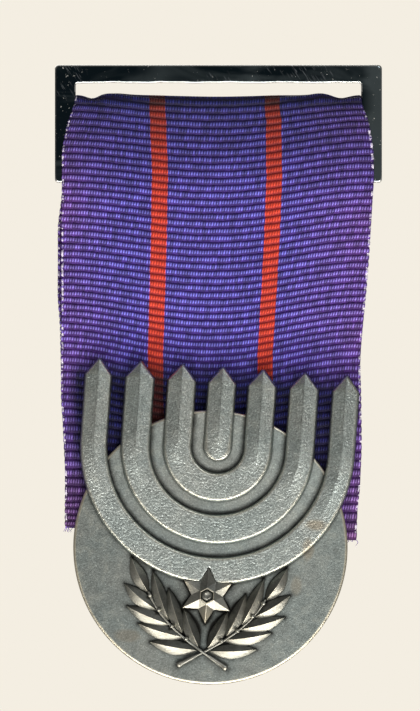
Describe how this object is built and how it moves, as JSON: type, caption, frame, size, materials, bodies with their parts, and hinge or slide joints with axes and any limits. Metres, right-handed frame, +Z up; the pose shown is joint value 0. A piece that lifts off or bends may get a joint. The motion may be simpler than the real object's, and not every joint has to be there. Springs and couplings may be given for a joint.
{
  "type": "military service medal",
  "caption": "Round metal pendant with a branched lampstand over a star and laurel wreath, hung by a striped ribbon from a slotted frame with a brooch pin.",
  "frame": {"origin": "on the brooch pin's axis, half way along the frame", "axes": "+Z up, the front with the emblem faces -Y, +X to the right as seen from the front"},
  "size_m": [0.04, 0.0067, 0.0758],
  "materials": {
    "dark_chrome": "polished, finely scratched",
    "pin_steel": "drawn wire",
    "oxidised_silver": "matte, fine-grained, dark patina in recesses",
    "worn_silver": "satin, bright on the high edges",
    "nickel_fittings": "dull nickel",
    "purple_ribbon": "ribbed, with two narrow red stripes"
  },
  "bodies": {
    "frame": {"ribbon_frame": "dark_chrome", "pin_hinge_block": "nickel_fittings", "pin_hinge_rivet": "nickel_fittings", "pin_catch": "nickel_fittings", "ribbon_top_fold": "purple_ribbon"},
    "pin": {"brooch_pin": "pin_steel"},
    "roller": {"catch_roller": "nickel_fittings"},
    "ribbon": {"ribbon_front_panel": "purple_ribbon", "ribbon_rear_panel": "purple_ribbon"},
    "pendant": {"ribbon_front_tail": "purple_ribbon", "ribbon_rear_tail": "purple_ribbon", "ribbon_clamp_bar": "nickel_fittings", "clamp_rivet_left": "nickel_fittings", "clamp_rivet_right": "nickel_fittings", "pendant_disc": "oxidised_silver", "outer_arm_pair": "oxidised_silver", "middle_arm_pair": "oxidised_silver", "inner_arm_pair": "oxidised_silver", "centre_stem": "oxidised_silver", "star": "worn_silver", "star_boss": "worn_silver", "laurel_wreath": "worn_silver"}
  },
  "joints": [
    {"name": "pin_hinge", "type": "hinge", "parent": "frame", "child": "pin", "pos_m": [-0.0142, 0, 0], "axis": [0, 0, 1], "range_deg": [0, 75]},
    {"name": "catch_turn", "type": "hinge", "parent": "frame", "child": "roller", "pos_m": [0.013, 0, 0], "axis": [1, 0, 0], "range_deg": [0, 85]},
    {"name": "ribbon_swing", "type": "hinge", "parent": "frame", "child": "ribbon", "pos_m": [0, -0.00235, -0.0163], "axis": [1, 0, 0], "range_deg": [-75, 60]},
    {"name": "pendant_swing", "type": "hinge", "parent": "ribbon", "child": "pendant", "pos_m": [0, -0.0022, -0.04965], "axis": [1, 0, 0], "range_deg": [0, 75]}
  ]
}
